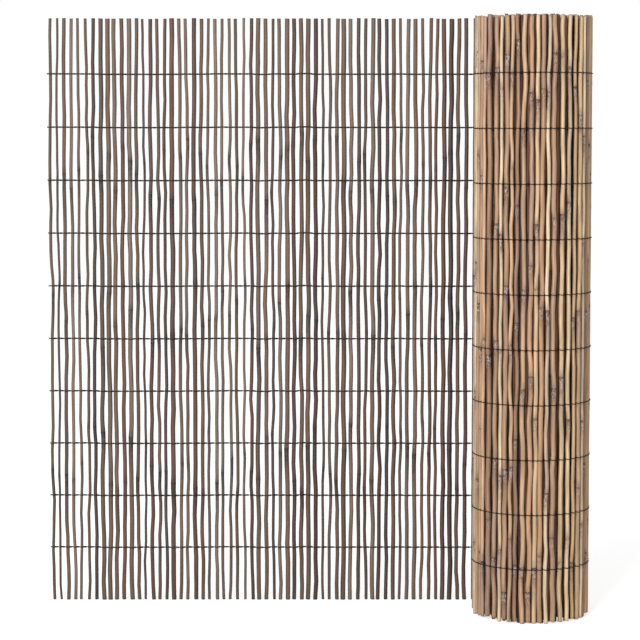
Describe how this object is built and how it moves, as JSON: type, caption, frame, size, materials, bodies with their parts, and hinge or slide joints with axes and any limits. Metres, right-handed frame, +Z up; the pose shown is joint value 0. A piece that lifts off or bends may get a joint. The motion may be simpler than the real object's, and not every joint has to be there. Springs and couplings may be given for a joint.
{
  "type": "reed fence",
  "caption": "Reed screening: whole canes tied upright side by side by rows of wire, one length drawn out flat and the rest wound in an upright roll.",
  "frame": {"origin": "on the floor, under the middle of the fence's overall width and depth", "axes": "+Z up along the canes; the roll stands at +X and the flat length runs from its back (+Y) towards -X"},
  "size_m": [0.9188, 0.2024, 1],
  "materials": {
    "cane_weathered": "matt, weathered",
    "cane_tan": "dry, slightly silky",
    "binding_wire": "dull"
  },
  "bodies": {
    "root": {"open_cane_01": "cane_weathered", "open_cane_02": "cane_weathered", "open_cane_03": "cane_weathered", "open_cane_04": "cane_weathered", "open_cane_05": "cane_weathered", "open_cane_06": "cane_weathered", "open_cane_07": "cane_weathered", "open_cane_08": "cane_weathered", "open_cane_09": "cane_weathered", "open_cane_10": "cane_weathered", "open_cane_11": "cane_weathered", "open_cane_12": "cane_weathered", "open_cane_13": "cane_weathered", "open_cane_14": "cane_weathered", "open_cane_15": "cane_weathered", "open_cane_16": "cane_weathered", "open_cane_17": "cane_weathered", "open_cane_18": "cane_weathered", "open_cane_19": "cane_weathered", "open_cane_20": "cane_weathered", "open_cane_21": "cane_weathered", "open_cane_22": "cane_weathered", "open_cane_23": "cane_weathered", "open_cane_24": "cane_weathered", "open_cane_25": "cane_weathered", "open_cane_26": "cane_weathered", "open_cane_27": "cane_weathered", "open_cane_28": "cane_weathered", "open_cane_29": "cane_weathered", "open_cane_30": "cane_weathered", "open_cane_31": "cane_weathered", "open_cane_32": "cane_weathered", "open_cane_33": "cane_weathered", "open_cane_34": "cane_weathered", "open_cane_35": "cane_weathered", "open_cane_36": "cane_weathered", "open_cane_37": "cane_weathered", "open_cane_38": "cane_weathered", "open_cane_39": "cane_weathered", "open_cane_40": "cane_weathered", "open_cane_41": "cane_weathered", "open_cane_42": "cane_weathered", "open_cane_43": "cane_weathered", "open_cane_44": "cane_weathered", "open_cane_45": "cane_weathered", "open_cane_46": "cane_weathered", "open_cane_47": "cane_weathered", "open_cane_48": "cane_weathered", "open_cane_49": "cane_weathered", "open_cane_50": "cane_weathered", "open_cane_51": "cane_weathered", "open_cane_52": "cane_weathered", "open_cane_53": "cane_weathered", "open_cane_54": "cane_weathered", "open_cane_55": "cane_weathered", "open_cane_56": "cane_weathered", "open_cane_57": "cane_weathered", "canes_beside_roll": "cane_weathered", "rolled_length": "cane_tan", "binding_wires": "binding_wire"}
  },
  "joints": []
}
